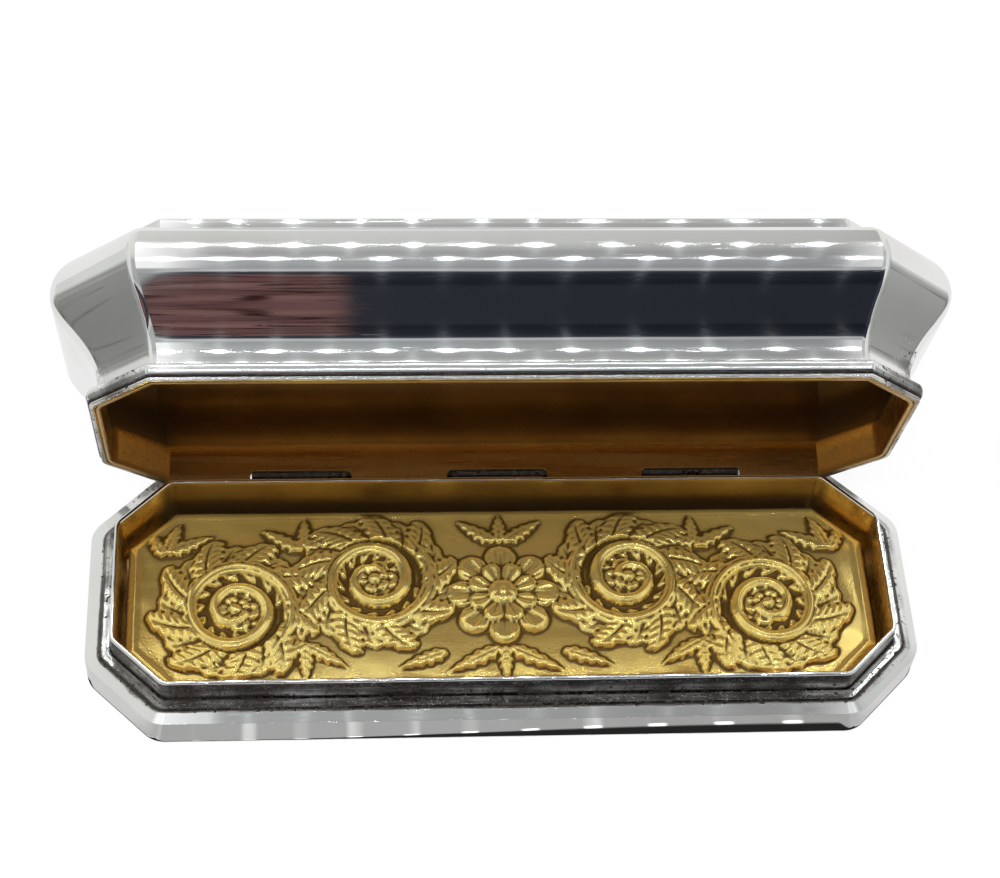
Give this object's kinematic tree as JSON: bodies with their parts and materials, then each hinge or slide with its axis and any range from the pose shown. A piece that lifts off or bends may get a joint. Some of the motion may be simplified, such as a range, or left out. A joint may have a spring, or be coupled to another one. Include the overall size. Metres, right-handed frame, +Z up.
{
  "type": "hinged trinket box",
  "caption": "Octagonal hinged silver box, open at rest: shallow base with upright bezel and gilt relief floor, deep ogee lid with a stepped top that shuts over the bezel on a back hinge.",
  "frame": {"origin": "middle of the flat underside that rests on the table", "axes": "+X along the length to the right, +Y to the hinge at the back, +Z up"},
  "size_m": [0.115, 0.0582, 0.0476],
  "materials": {
    "silver": "polished silver with light tarnish and fine scratches; gilt on the lid wall's inside",
    "gilt": "gilt, soft sheen, dark in the hollows"
  },
  "bodies": {
    "base": {"base_plate": "silver", "base_skirt": "silver", "base_ledge": "silver", "base_bezel": "silver", "floor_panel": "gilt", "base_bearer": "silver", "base_knuckle_1": "silver", "base_knuckle_2": "silver", "base_knuckle_3": "silver", "hinge_pin": "silver"},
    "lid": {"lid_wall": "silver", "lid_rim": "silver", "lid_top": "silver", "lid_step": "silver", "lid_bearer": "silver", "lid_knuckle_1": "silver", "lid_knuckle_2": "silver"}
  },
  "joints": [
    {"name": "lid_hinge", "type": "hinge", "parent": "base", "child": "lid", "pos_m": [0, 0.01715, 0.0056], "axis": [1, 0, 0], "range_deg": [0, 76.9]}
  ]
}
